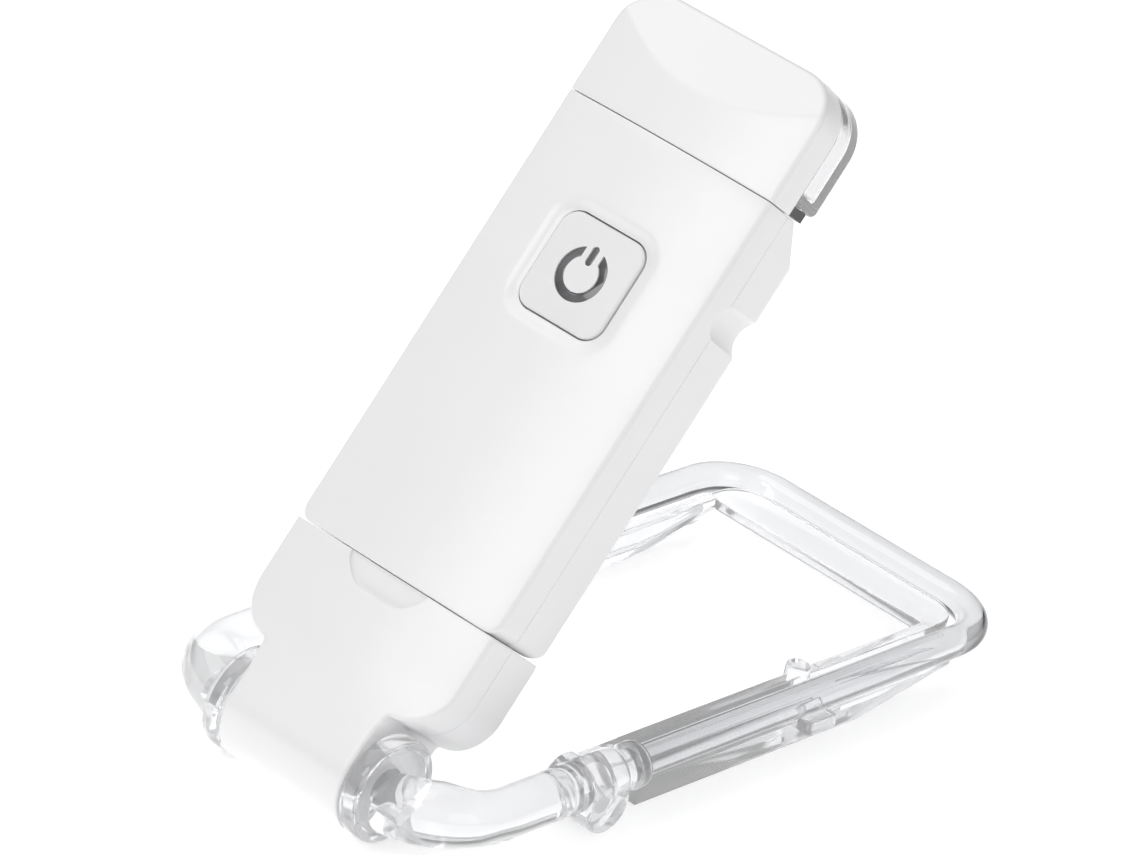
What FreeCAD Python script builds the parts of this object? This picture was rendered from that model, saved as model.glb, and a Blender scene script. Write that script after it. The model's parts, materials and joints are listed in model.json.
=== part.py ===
import FreeCAD, Part
import math
import os

import Sketcher
from FreeCAD import Placement, Rotation, Vector

# Clip-on reading lamp, millimetres.
# The lamp bar, its cap and its button are drawn in the "lamp" frame: X along the tilt hinge,
# Y along the bar from hinge to tip, Z out of the bar's front face, origin on the hinge axis.
# The clear clip is drawn in the "clip" frame: the same origin, with Z square to the clip.
# The finished part stands on z = 0 with the middle of its footprint at the origin.

doc = FreeCAD.newDocument("ReadingLamp")
sheet = doc.addObject("Spreadsheet::Sheet", "Dims")

DIMENSIONS = {
    # lamp bar
    "lean": 55.0,            # degrees between the bar and the clip
    "bar_width": 32.0,
    "front": 6.5,            # front face, from the hinge axis
    "back": 7.0,             # back face, from the hinge axis
    "parting": 0.4,          # plane where front and back shells meet
    "seam_low": 21.0,        # joint line between cap and bar
    "seam_high": 79.7,       # joint line between bar and head
    "tip": 95.1,
    "seam_gap": 0.1,
    "wall": 1.4,
    "front_round": 3.0,
    "back_round": 1.5,
    "tip_round": 6.0,
    "heel_chamfer": 4.7,
    # head
    "lens_low": 81.2,
    "lens_back": 5.3,
    "lens_half": 15.9,
    "facet_start": 86.5,
    "facet_tip": 4.1,        # front face height left at the tip
    "led_pitch_x": 5.6,
    "led_pitch_y": 2.9,
    # button
    "button_at": 61.6,
    "button_half": 6.4,
    "button_round": 2.4,
    "button_gap": 0.2,
    "mark_outer": 3.4,
    "mark_inner": 2.1,
    # side scoops that the clip's lugs drop into
    "scoop_at": 65.3,
    "scoop_centre": 17.1,
    "scoop_radius": 2.6,
    # electronics
    "plug_mid": -0.25,
    "plug_half": 6.0,
    "plug_thick": 4.5,
    "plug_tip": 8.2,
    "plug_end": 27.2,
    "board_half": 12.8,
    "board_under": -0.2,
    "board_top": 0.8,
    "screw_x": 10.5,
    "screw_y": 71.0,
    # hinge
    "barrel_radius": 6.5,
    "barrel_half": 9.6,
    "shoulder": 7.2,         # where the cap widens above the barrel
    "bore_radius": 2.55,
    "journal_radius": 2.5,
    "disc_radius": 6.6,
    "disc_inner": 9.95,
    "disc_outer": 12.6,
    "key_angle": 21.0,       # degrees from the clip plane to the flats of the pin ends
    "key_long": 5.2,
    "key_high": 2.0,
    # clip
    "tube_x": 22.2,
    "tube_radius": 2.0,
    "tube_far": 97.6,
    "tube_bend": 8.0,
    "arm_radius": 3.1,
    "arm_bend": 8.4,         # where the arm's bend becomes straight
    "arm_reach": 9.0,
    "boss_radius": 3.6,
    "boss_long": 6.0,
    "spring_room": 2.7,
    "spring_depth": 1.8,
    "socket_start": 26.0,
    "socket_end": 31.0,
    "pivot_y": 24.0,
    "pivot_z": -2.5,
    "pin_radius": 1.2,
    "spring_radius": 1.95,
    "spring_wire": 0.24,
    "jaw_inner": 17.1,
    "jaw_wall": 1.6,
    "jaw_outer": 22.0,
    "jaw_top": 0.2,
    "rail_start": 33.0,
    "rail_end": 89.5,
    "taper_start": 72.0,
    "bar_start": 88.6,
    "bar_end": 95.2,
    "lug_radius": 1.9,
    "lug_top": 2.4,
}

# The footprint runs from the back of the discs to the far side of the clip's cross tube.
DIMENSIONS["hinge_y"] = -(DIMENSIONS["tube_far"] + DIMENSIONS["tube_radius"]
                          - DIMENSIONS["disc_radius"]) / 2
DIMENSIONS["hinge_z"] = DIMENSIONS["disc_radius"]

for row, (alias, size) in enumerate(DIMENSIONS.items(), start=1):
    sheet.set(f"A{row}", alias)
    sheet.set(f"B{row}", str(round(size, 4)))
    sheet.setAlias(f"B{row}", alias)
doc.recompute()

FAR = 200.0                  # half size of the boxes that stand for half spaces
pieces = []                  # every finished sub-part, in the order it is made


def dim(name):
    """The value of one cell of the sheet."""
    return float(sheet.get(name))


def cell(text):
    """Write an expression with bare aliases, as "front - wall", the way the sheet wants it."""
    words = sorted(DIMENSIONS, key=len, reverse=True)
    out = ""
    i = 0
    while i < len(text):
        word = next((w for w in words if text.startswith(w, i)), None)
        starts_here = i == 0 or not (text[i - 1].isalnum() or text[i - 1] == "_")
        if word and starts_here:
            out += "Dims." + word
            i += len(word)
        else:
            out += text[i]
            i += 1
    return out


def bind(obj, prop, text):
    obj.setExpression(prop, cell(str(text)))


def finish(obj, label, frame):
    """Name a sub-part and stand it in the lamp or the clip frame."""
    obj.Label = label
    obj.Placement = Placement(Vector(), Rotation(Vector(1, 0, 0), 1.0))
    bind(obj, "Placement.Base.y", "hinge_y")
    bind(obj, "Placement.Base.z", "hinge_z")
    bind(obj, "Placement.Rotation.Angle", "lean" if frame == "lamp" else "0")
    pieces.append(obj)
    return obj


# ---------------------------------------------------------------- Part primitives

def block(x, y, z):
    """A box between two expressions on each axis."""
    box = doc.addObject("Part::Box", "Block")
    for prop, axis, (low, high) in (("Length", "x", x), ("Width", "y", y), ("Height", "z", z)):
        bind(box, prop, f"({high}) - ({low})")
        bind(box, "Placement.Base." + axis, low)
    return box


def mirrored_blocks(x, y, z):
    """A box and its mirror image on the other side of the bar."""
    return [block(x, y, z), block((f"-({x[1]})", f"-({x[0]})"), y, z)]


AXES = {
    "x": Rotation(Vector(0, 1, 0), 90),
    "y": Rotation(Vector(1, 0, 0), -90),
    "z": Rotation(),
}


def rod(radius, start, end, axis="z", at=("0", "0")):
    """A cylinder along one axis; at gives its place on the other two, in X, Y, Z order."""
    cylinder = doc.addObject("Part::Cylinder", "Rod")
    bind(cylinder, "Radius", radius)
    bind(cylinder, "Height", f"({end}) - ({start})")
    cylinder.Placement = Placement(Vector(), AXES[axis])
    others = [name for name in "xyz" if name != axis]
    bind(cylinder, "Placement.Base." + axis, start)
    for name, place in zip(others, at):
        bind(cylinder, "Placement.Base." + name, place)
    return cylinder


def cut(base, tools):
    result = doc.addObject("Part::Cut", "Cut")
    result.Base = base
    result.Tool = fuse(tools) if isinstance(tools, list) else tools
    return result


def fuse(shapes):
    if len(shapes) == 1:
        return shapes[0]
    result = doc.addObject("Part::MultiFuse", "Fuse")
    result.Shapes = shapes
    result.Refine = True
    return result


def common(one, two):
    result = doc.addObject("Part::MultiCommon", "Common")
    result.Shapes = [one, two]
    return result


def group(shapes):
    """Separate solids that share one sub-part."""
    result = doc.addObject("Part::Compound", "Group")
    result.Links = shapes
    return result


def rounded(base, radius, chosen):
    """Fillet the edges that the test picks, by their middle point and direction."""
    doc.recompute()
    result = doc.addObject("Part::Fillet", "Rounded")
    result.Base = base
    picked = [i for i, edge in enumerate(base.Shape.Edges, start=1) if chosen(edge)]
    size = dim(radius) if radius in DIMENSIONS else float(radius)
    result.Edges = [(i, size, size) for i in picked]
    return result


def along(edge, axis):
    """Whether an edge is straight and runs along one axis."""
    if len(edge.Vertexes) != 2:
        return False
    run = edge.Vertexes[1].Point - edge.Vertexes[0].Point
    return abs(abs(run.normalize().dot(axis)) - 1) < 1e-6


def middle(edge):
    return edge.CenterOfMass


X, Y, Z = Vector(1, 0, 0), Vector(0, 1, 0), Vector(0, 0, 1)


def solid(label, frame, shape):
    """A sub-part whose shape is worked out here, because no feature makes it."""
    holder = doc.addObject("Part::Feature", "Formed")
    holder.Shape = shape
    return finish(group([holder]), label, frame)


# ---------------------------------------------------------------- PartDesign helpers

def new_body(label, frame):
    body = doc.addObject("PartDesign::Body", "Body")
    return finish(body, label, frame)


def sketch_on(body, role, height):
    plane = next(feature for feature in body.Origin.OriginFeatures if feature.Role == role)
    sketch = body.newObject("Sketcher::SketchObject", "Sketch")
    sketch.AttachmentSupport = [(plane, "")]
    sketch.MapMode = "FlatFace"
    bind(sketch, "AttachmentOffset.Base.z", height)
    return sketch


def value(text):
    return float(doc.getObject("Dims").evalExpression(cell(str(text)).replace("Dims.", "")))


def polygon(sketch, corners):
    """A closed outline whose corners are all bound to the sheet."""
    points = [Vector(value(a), value(b), 0) for a, b in corners]
    count = len(points)
    first = sketch.GeometryCount
    for i in range(count):
        sketch.addGeometry(Part.LineSegment(points[i], points[(i + 1) % count]))
    for i in range(count):
        sketch.addConstraint(Sketcher.Constraint("Coincident", first + i, 2,
                                                 first + (i + 1) % count, 1))
    for i, corner in enumerate(corners):
        for kind, text in zip(("DistanceX", "DistanceY"), corner):
            number = sketch.addConstraint(Sketcher.Constraint(kind, -1, 1, first + i, 1,
                                                              value(text)))
            bind(sketch, f"Constraints[{number}]", text)


def rectangle(sketch, x, y):
    polygon(sketch, [(x[0], y[0]), (x[1], y[0]), (x[1], y[1]), (x[0], y[1])])


def circle(sketch, x, y, radius):
    first = sketch.addGeometry(Part.Circle(Vector(value(x), value(y), 0), Z, value(radius)))
    for kind, text in (("DistanceX", x), ("DistanceY", y)):
        number = sketch.addConstraint(Sketcher.Constraint(kind, -1, 1, first, 3, value(text)))
        bind(sketch, f"Constraints[{number}]", text)
    number = sketch.addConstraint(Sketcher.Constraint("Radius", first, value(radius)))
    bind(sketch, f"Constraints[{number}]", radius)


def extrude(body, kind, sketch, length, reverse=False):
    """A Pad or a Pocket of one sketch; the change in volume shows that it took."""
    before = body.Shape.Volume if body.Tip else 0.0
    feature = body.newObject("PartDesign::" + kind, kind)
    feature.Profile = sketch
    bind(feature, "Length", length)
    feature.Reversed = reverse
    doc.recompute()
    change = feature.Shape.Volume - before
    if (change > 1e-6) != (kind == "Pad"):
        raise RuntimeError(f"{body.Label}: {kind} changed nothing")
    return feature


def dress(body, kind, size, chosen):
    """A Fillet or a Chamfer on the edges that the test picks."""
    base = body.Tip
    feature = body.newObject("PartDesign::" + kind, kind)
    names = [f"Edge{i}" for i, edge in enumerate(base.Shape.Edges, start=1) if chosen(edge)]
    feature.Base = (base, names)
    bind(feature, "Radius" if kind == "Fillet" else "Size", size)
    doc.recompute()
    return feature


def pocket_box(body, x, y, bottom, top):
    """Cut a box out of a body, from one height to another."""
    sketch = sketch_on(body, "XY_Plane", top)
    rectangle(sketch, x, y)
    extrude(body, "Pocket", sketch, f"({top}) - ({bottom})")


HALF = "bar_width / 2"
SIDE = (f"-{HALF}", HALF)
INNER_SIDE = ("-(bar_width / 2 - wall)", "bar_width / 2 - wall")
BAR = ("seam_low + seam_gap", "seam_high")


# ---------------------------------------------------------------- lamp bar

def at_height(edge, height):
    return abs(middle(edge).z - height) < 1e-4


def body_front_shell():
    body = new_body("body_front_shell", "lamp")
    outline = sketch_on(body, "XY_Plane", "parting")
    rectangle(outline, SIDE, BAR)
    extrude(body, "Pad", outline, "front - parting")
    dress(body, "Fillet", "front_round", lambda e: along(e, Y) and at_height(e, dim("front")))
    cavity = sketch_on(body, "XY_Plane", "parting")
    rectangle(cavity, INNER_SIDE, ("seam_low + wall", "seam_high - wall"))
    extrude(body, "Pocket", cavity, "front - parting - wall", reverse=True)
    for x in ("-screw_x", "screw_x"):
        boss = sketch_on(body, "XY_Plane", "board_top")
        circle(boss, x, "screw_y", "1.8")
        extrude(body, "Pad", boss, "front - wall - board_top")
        pilot = sketch_on(body, "XY_Plane", "board_top")
        circle(pilot, x, "screw_y", "0.7")
        extrude(body, "Pocket", pilot, "3.5", reverse=True)
    hole = "button_half + button_gap"
    pocket_box(body, (f"-({hole})", hole),
               (f"button_at - ({hole})", f"button_at + ({hole})"), "front - wall - 1", "front + 1")
    dress(body, "Fillet", "button_round", lambda e: along(e, Z) and at_height(
        e, dim("front") - dim("wall") / 2) and abs(abs(middle(e).x) - value(hole)) < 1e-4)
    pocket_box(body, ("-plug_half - 0.05", "plug_half + 0.05"),
               ("seam_low - 1", "seam_low + wall + 1"), "parting - 1",
               "plug_mid + plug_thick / 2 + 0.05")
    pocket_box(body, ("-3", "3"), ("seam_high - wall - 1", "seam_high + 1"),
               "parting - 1", "board_top + 1")


def body_back_shell():
    body = new_body("body_back_shell", "lamp")
    outline = sketch_on(body, "XY_Plane", "-back")
    rectangle(outline, SIDE, BAR)
    extrude(body, "Pad", outline, "back + parting")
    low, high = dim("seam_low") + dim("seam_gap"), dim("seam_high")
    dress(body, "Chamfer", "heel_chamfer", lambda e: along(e, X) and at_height(
        e, -dim("back")) and abs(middle(e).y - high) < 1e-4)
    dress(body, "Fillet", "back_round", lambda e: along(e, Y) and at_height(e, -dim("back")))
    dress(body, "Fillet", "back_round", lambda e: along(e, X) and at_height(
        e, -dim("back")) and abs(middle(e).y - low) < 1e-4)
    pocket_box(body, INNER_SIDE, ("seam_low + wall", "seam_high - heel_chamfer - wall"),
               "wall - back", "parting + 1")
    pocket_box(body, INNER_SIDE, ("seam_high - heel_chamfer - wall - 1", "seam_high - wall"),
               "-1", "parting + 1")
    pad_inner = "board_half + 0.2"
    for x in ((pad_inner, "bar_width / 2 - wall"), ("wall - bar_width / 2", f"-({pad_inner})")):
        backing = sketch_on(body, "XY_Plane", "wall - back")
        rectangle(backing, x, ("scoop_at - 3.4", "scoop_at + 3.4"))
        extrude(body, "Pad", backing, "back + parting - wall")
    for x in ("-scoop_centre", "scoop_centre"):
        scoop = sketch_on(body, "XY_Plane", "parting")
        circle(scoop, x, "scoop_at", "scoop_radius")
        extrude(body, "Pocket", scoop, "back + parting")
    pocket_box(body, ("-plug_half - 0.05", "plug_half + 0.05"),
               ("seam_low - 1", "seam_low + wall + 1"),
               "plug_mid - plug_thick / 2 - 0.05", "parting + 1")


# ---------------------------------------------------------------- head

def tip_corner(edge):
    return along(edge, Z) and middle(edge).y > dim("tip") - 2


def tip_pocket(body, half, y, bottom, top):
    """A pocket whose far corners are cut off, so that the wall stays even round the tip."""
    sketch = sketch_on(body, "XY_Plane", top)
    polygon(sketch, [(f"-({half})", y[0]), (half, y[0]), (half, f"{y[1]} - tip_round / 2"),
                     (f"{half} - tip_round / 2", y[1]), (f"tip_round / 2 - ({half})", y[1]),
                     (f"-({half})", f"{y[1]} - tip_round / 2")])
    extrude(body, "Pocket", sketch, f"({top}) - ({bottom})")


def head_cover():
    body = new_body("head_cover", "lamp")
    outline = sketch_on(body, "XY_Plane", "parting")
    rectangle(outline, SIDE, ("seam_high + seam_gap", "tip"))
    extrude(body, "Pad", outline, "front - parting")
    dress(body, "Fillet", "tip_round", tip_corner)
    dress(body, "Fillet", "front_round", lambda e: along(e, Y) and at_height(e, dim("front")))
    facet = sketch_on(body, "YZ_Plane", "bar_width")
    polygon(facet, [("facet_start", "front"), ("tip + 1", "front"),
                    ("tip + 1", "facet_tip - (front - facet_tip) / (tip - facet_start)")])
    extrude(body, "Pocket", facet, "2 * bar_width")
    pocket_box(body, INNER_SIDE, ("seam_high + wall", "facet_start"),
               "parting - 1", "front - wall")
    tip_pocket(body, "bar_width / 2 - wall", ("facet_start - 1", "tip - wall"),
               "parting - 1", "facet_tip - 1")
    pocket_box(body, ("-3", "3"), ("seam_high", "seam_high + wall + 1"),
               "parting - 1", "board_top + 1")


def head_lens():
    body = new_body("head_lens", "lamp")
    outline = sketch_on(body, "XY_Plane", "-lens_back")
    rectangle(outline, ("-lens_half", "lens_half"), ("lens_low", "tip - 0.1"))
    extrude(body, "Pad", outline, "lens_back + parting")
    dress(body, "Fillet", "tip_round", tip_corner)
    dress(body, "Fillet", "1.2", lambda e: at_height(e, -dim("lens_back")))
    tip_pocket(body, "lens_half - wall", ("lens_low + wall", "tip - 0.1 - wall"),
               "wall - lens_back", "parting")


def lamp_light():
    """The light-blocking plate, the LED board on it and the LEDs that face the page."""
    plate = block(("-12.9", "12.9"), ("lens_low + wall + 0.1", "92.2"), ("-0.1", "parting"))
    notches = [rod("0.5", "-0.2", "parting + 0.1", at=(x, "84.2")) for x in ("-1.5", "1.5")]
    finish(cut(plate, notches), "reflector_plate", "lamp")
    board = block(("-12.6", "12.6"), ("lens_low + wall + 0.2", "92"), ("-0.9", "-0.1"))
    finish(group([board]), "led_board", "lamp")
    chips = []
    for column in range(4):
        for line in range(3):
            x = f"led_pitch_x * {column - 1.5}"
            y = f"87.5 + led_pitch_y * {line - 1}"
            chips.append(block((f"{x} - 1.4", f"{x} + 1.4"), (f"{y} - 1.05", f"{y} + 1.05"),
                               ("-1.8", "-0.9")))
    finish(group(chips), "led_chips", "lamp")
    clips = mirrored_blocks(("14.1", "15.3"), ("seam_high + 0.3", "lens_low"), ("-3.6", "parting"))
    finish(group(clips), "lens_clips", "lamp")


# ---------------------------------------------------------------- button

def power_mark(bottom, top):
    """The ring with a gap and the stroke of a power symbol."""
    centre = ("0", "button_at")
    ring = cut(rod("mark_outer", bottom, top, at=centre), rod("mark_inner", bottom, top, at=centre))
    gap = block(("-1.35", "1.35"), ("button_at", "button_at + 5"), (bottom, top))
    stroke = block(("-0.45", "0.45"), ("button_at + 1.2", "button_at + 3.6"), (bottom, top))
    return group([cut(ring, gap), stroke])


def button():
    half = "button_half"
    key = rounded(block((f"-{half}", half), (f"button_at - {half}", f"button_at + {half}"),
                        ("front - wall - 0.1", "front")), "button_round", lambda e: along(e, Z))
    flange = block(("-7.2", "7.2"), ("button_at - 7.2", "button_at + 7.2"),
                   ("front - wall - 0.65", "front - wall - 0.05"))
    stem = rod("1.5", "3.35", "front - wall - 0.5", at=("0", "button_at"))
    recess = power_mark("front - 0.5", "front + 0.5")
    finish(cut(fuse([key, flange, stem]), recess), "power_button", "lamp")
    finish(power_mark("front - 0.5", "front"), "button_symbol", "lamp")


# ---------------------------------------------------------------- electronics

def bent_wire(start, bend, end, radius, wire_radius):
    """A wire of two straight runs joined by one tangent arc."""
    one = (start - bend).normalize()
    two = (end - bend).normalize()
    first, last = bend + one * radius, bend + two * radius
    inward = (one + two).normalize()
    mid = bend + inward * (radius * math.sqrt(2) - radius)
    path = Part.Wire([Part.LineSegment(start, first).toShape(),
                      Part.Arc(first, mid, last).toShape(),
                      Part.LineSegment(last, end).toShape()])
    profile = Part.Wire([Part.Circle(start, bend - start, wire_radius).toShape()])
    return path.makePipeShell([profile], True, False)


def leads():
    end, pad = value("board_under"), value("board_top")
    cells = [bent_wire(Vector(x, 67.5, -3), Vector(x, 69.4, -3), Vector(x, 69.4, end), 1.0, 0.45)
             for x in (-2.0, 2.0)]
    solid("battery_leads", "lamp", Part.makeCompound(cells))
    run = pad + 0.4
    lights = [bent_wire(Vector(x, 74.5, run), Vector(x, 84.2, run), Vector(x, 84.2, -0.1), 0.8, 0.38)
              for x in (-1.5, 1.5)]
    solid("led_leads", "lamp", Part.makeCompound(lights))


def electronics():
    top, under = "board_top", "board_under"
    board = block(("-board_half", "board_half"), ("plug_end + 0.1", "77"), (under, top))
    holes = [rod("0.8", f"{under} - 1", f"{top} + 1", at=(x, "screw_y"))
             for x in ("-screw_x", "screw_x")]
    finish(cut(board, holes), "main_board", "lamp")
    screws = []
    for x in ("-screw_x", "screw_x"):
        shank = rod("0.7", under, f"{top} + 3.4", at=(x, "screw_y"))
        head = rod("1.4", f"{under} - 0.8", under, at=(x, "screw_y"))
        screws.append(fuse([shank, head]))
    finish(group(screws), "board_screws", "lamp")
    pouch = block(("-12", "12"), ("31", "67.5"), ("wall - back + 0.1", "-0.7"))
    finish(rounded(pouch, "1.2", lambda e: along(e, Y)), "battery_cell", "lamp")
    case = block(("-3", "3"), ("button_at - 3", "button_at + 3"), (top, f"{top} + 1.6"))
    plunger = rod("1.5", f"{top} + 1.6", f"{top} + 2.1", at=("0", "button_at"))
    finish(fuse([case, plunger]), "tact_switch", "lamp")
    glow = mirrored_blocks(("3.8", "5.4"), ("button_at - 0.4", "button_at + 0.4"),
                           (top, f"{top} + 0.6"))
    finish(group(glow), "indicator_leds", "lamp")
    chips = [block(("-8", "-4"), ("36", "41"), (top, f"{top} + 1.5")),
             block(("2.5", "6.9"), ("36.5", "40.9"), (top, f"{top} + 2")),
             block(("-2", "0.9"), ("44", "45.6"), (top, f"{top} + 1.1")),
             block(("-9.5", "-7.9"), ("46", "48.9"), (top, f"{top} + 0.9")),
             block(("5", "8"), ("47", "48.6"), (top, f"{top} + 1"))]
    finish(group(chips), "board_components", "lamp")


def usb_plug():
    low, high = "plug_mid - plug_thick / 2", "plug_mid + plug_thick / 2"
    outside = block(("-plug_half", "plug_half"), ("plug_tip", "plug_end"), (low, high))
    hollow = block(("0.3 - plug_half", "plug_half - 0.3"), ("plug_tip - 1", "plug_end + 1"),
                   (f"{low} + 0.3", f"{high} - 0.3"))
    finish(cut(outside, hollow), "usb_plug_shell", "lamp")
    tongue_top = f"{low} + 0.3 + 1.84"
    tongue = block(("0.4 - plug_half", "plug_half - 0.4"), ("plug_tip + 0.4", "plug_end"),
                   (f"{low} + 0.3", tongue_top))
    finish(group([tongue]), "usb_tongue", "lamp")
    strips = [block((f"{x} - 0.5", f"{x} + 0.5"), ("plug_tip + 1", "plug_tip + 9"),
                    (tongue_top, f"{tongue_top} + 0.15")) for x in ("-3.5", "-1", "1", "3.5")]
    finish(group(strips), "usb_contacts", "lamp")


# ---------------------------------------------------------------- cap and hinge barrel

def cap():
    """The cap over the plug, with the white hinge barrel, as a front and a back shell."""
    slab = block(SIDE, ("shoulder", "seam_low"), ("-back", "front"))
    slab = rounded(slab, "tip_round", lambda e: along(e, Z)
                   and abs(middle(e).y - dim("shoulder")) < 1e-4)
    slab = rounded(slab, "front_round", lambda e: along(e, Y) and at_height(e, dim("front")))
    slab = rounded(slab, "back_round", lambda e: along(e, Y) and at_height(e, -dim("back")))
    tongue = block(("-barrel_half", "barrel_half"), ("0", "shoulder + 1"),
                   ("-barrel_radius", "barrel_radius"))
    barrel = rod("barrel_radius", "-barrel_half", "barrel_half", axis="x")
    sleeve_half = "plug_half + 1"
    sleeve_room = block((f"-({sleeve_half})", sleeve_half), ("7.6", "seam_low + 1"),
                        ("plug_mid - 3.3", "plug_mid + 3.3"))
    bore = rod("bore_radius", "-barrel_half - 1", "barrel_half + 1", axis="x")
    lightening = mirrored_blocks(("8.4", "14.4"), ("11.4", "seam_low - wall"),
                                 ("wall - back", "front - wall"))
    thumb = rounded(block(("-6.3", "6.3"), ("17.9", "seam_low + 3"), ("front - 0.6", "front + 1")),
                    "2.6", lambda e: along(e, Z) and middle(e).y < dim("seam_low"))
    whole = cut(fuse([slab, tongue, barrel]), [sleeve_room, bore, thumb] + lightening)
    front_space = block((-FAR, FAR), (-FAR, FAR), ("parting", FAR))
    back_space = block((-FAR, FAR), (-FAR, FAR), (-FAR, "parting"))
    finish(common(whole, front_space), "cap_front_shell", "lamp")
    finish(common(whole, back_space), "cap_back_shell", "lamp")
    sleeve = block((f"-({sleeve_half})", sleeve_half), ("7.6", "seam_low - 0.4"),
                   ("plug_mid - 3.3", "plug_mid + 3.3"))
    slot = block(("-plug_half - 0.1", "plug_half + 0.1"), ("8", "seam_low"),
                 ("plug_mid - plug_thick / 2 - 0.1", "plug_mid + plug_thick / 2 + 0.1"))
    finish(cut(sleeve, slot), "plug_sleeve", "lamp")


def pin_key(side, grow=0.0):
    """The flat-sided end that locks one hinge pin in its disc."""
    high = dim("key_high") / 2
    long = dim("key_long") / 2 - high
    inner, outer = dim("disc_inner"), dim("disc_outer") + grow - 0.3
    a, b = Vector(0, -long, high), Vector(0, long, high)
    c, d = Vector(0, long, -high), Vector(0, -long, -high)
    outline = Part.Wire([Part.LineSegment(a, b).toShape(),
                         Part.Arc(b, Vector(0, long + high, 0), c).toShape(),
                         Part.LineSegment(c, d).toShape(),
                         Part.Arc(d, Vector(0, -long - high, 0), a).toShape()])
    key = Part.Face(outline).extrude(Vector(outer - inner, 0, 0))
    key.rotate(Vector(), X, dim("key_angle"))
    key.translate(Vector(inner, 0, 0))
    return key if side > 0 else key.mirror(Vector(), X)


def hinge_pins():
    pins = []
    for side in (1, -1):
        length = dim("disc_inner") - 4.0
        start = 4.0 if side > 0 else -dim("disc_inner")
        journal = Part.makeCylinder(dim("journal_radius"), length, Vector(start, 0, 0), X)
        pins.append(journal.fuse(pin_key(side)).removeSplitter())
    solid("hinge_pins", "clip", Part.makeCompound(pins))


def friction_washers():
    rings = []
    for low, high in (("barrel_half + 0.06", "disc_inner"), ("-disc_inner", "-barrel_half - 0.06")):
        rings.append(cut(rod("5", low, high, axis="x"), rod("bore_radius", low, high, axis="x")))
    finish(group(rings), "friction_washers", "clip")


# ---------------------------------------------------------------- clear clip

def arm_section(angle, radius):
    """One round section of the arm, at an angle round the bend from the disc to the tube."""
    turn = math.radians(angle)
    start = dim("disc_outer") - 0.4
    centre = Vector(start + (dim("tube_x") - start) * math.sin(turn),
                    dim("arm_bend") - dim("arm_reach") * math.cos(turn), 0)
    heading = Vector(math.cos(turn), math.sin(turn), 0)
    return Part.Wire([Part.Circle(centre, heading, radius).toShape()])


def arm_shape():
    """The right arm: disc, bend, straight part with the tube's socket, and jaw boss."""
    radius, x, bend_end = dim("arm_radius"), dim("tube_x"), dim("arm_bend")
    sections = [arm_section(0, 5.3), arm_section(22, 4.5), arm_section(45, 3.8),
                arm_section(68, 3.3), arm_section(90, radius)]
    bend = Part.makeLoft(sections, True)
    straight = Part.makeCylinder(radius, dim("socket_end") - bend_end, Vector(x, bend_end, 0), Y)
    disc = Part.makeCylinder(dim("disc_radius"), dim("disc_outer") - dim("disc_inner"),
                             Vector(dim("disc_inner"), 0, 0), X)
    pivot = Vector(0, dim("pivot_y"), dim("pivot_z"))
    boss_start = dim("jaw_inner") + dim("jaw_wall") + 0.5
    boss = Part.makeCylinder(dim("boss_radius"), dim("boss_long"), pivot + X * boss_start, X)
    shape = disc.fuse([bend, straight, boss])
    socket = Part.makeCylinder(dim("tube_radius"), 10, Vector(x, dim("socket_start"), 0), Y)
    pin_hole = Part.makeCylinder(dim("pin_radius"), 3.4, pivot + X * boss_start, X)
    spring_room = Part.makeCylinder(dim("spring_room"), dim("spring_depth"),
                                    pivot + X * boss_start, X)
    return shape.cut([socket, pin_hole, spring_room, pin_key(1, 2.0)]).removeSplitter()


def clip_arms():
    right = arm_shape()
    solid("clip_arm_right", "clip", right)
    solid("clip_arm_left", "clip", right.mirror(Vector(), X))


def clip_loop():
    """The round clear bar that runs from one arm's socket round to the other's."""
    x, far, bend = dim("tube_x"), dim("tube_far"), dim("tube_bend")
    start = dim("socket_start")
    diagonal = bend * (1 - math.sqrt(0.5))
    corner = [Vector(x, far - bend, 0), Vector(x - diagonal, far - diagonal, 0),
              Vector(x - bend, far, 0)]
    other = [Vector(-p.x, p.y, 0) for p in reversed(corner)]
    path = Part.Wire([Part.LineSegment(Vector(x, start, 0), corner[0]).toShape(),
                      Part.Arc(*corner).toShape(),
                      Part.LineSegment(corner[2], other[0]).toShape(),
                      Part.Arc(*other).toShape(),
                      Part.LineSegment(other[2], Vector(-x, start, 0)).toShape()])
    profile = Part.Wire([Part.Circle(Vector(x, start, 0), Y, dim("tube_radius")).toShape()])
    solid("clip_loop", "clip", path.makePipeShell([profile], True, False))


def rail(body, side):
    """One side of the jaw: a trough under the tube, with the inner wall carried to the eye."""
    def across(text):
        return text if side > 0 else f"-({text})"

    inner, outer, wall = "jaw_inner", "jaw_outer", "jaw_wall"
    corners = [(inner, "jaw_top"), (f"{inner} + {wall}", "jaw_top"), (f"{inner} + {wall}", "-3.5"),
               (f"{outer} - {wall}", "-4.5"), (f"{outer} - {wall}", "-2.6"), (outer, "-2.6"),
               (outer, "-disc_radius"), (f"{outer} - {wall} + 0.4", "-disc_radius"),
               (inner, "-4.45")]
    section = sketch_on(body, "XZ_Plane", "-rail_end")
    polygon(section, [(across(a), b) for a, b in corners])
    extrude(body, "Pad", section, "rail_end - rail_start")
    wall_section = sketch_on(body, "XZ_Plane", "-rail_start - 1")
    low, high = (inner, f"{inner} + {wall}") if side > 0 else (f"-({inner} + {wall})", f"-{inner}")
    rectangle(wall_section, (low, high), ("-4.45", "jaw_top"))
    extrude(body, "Pad", wall_section, "rail_start + 1 - pivot_y")


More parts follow.
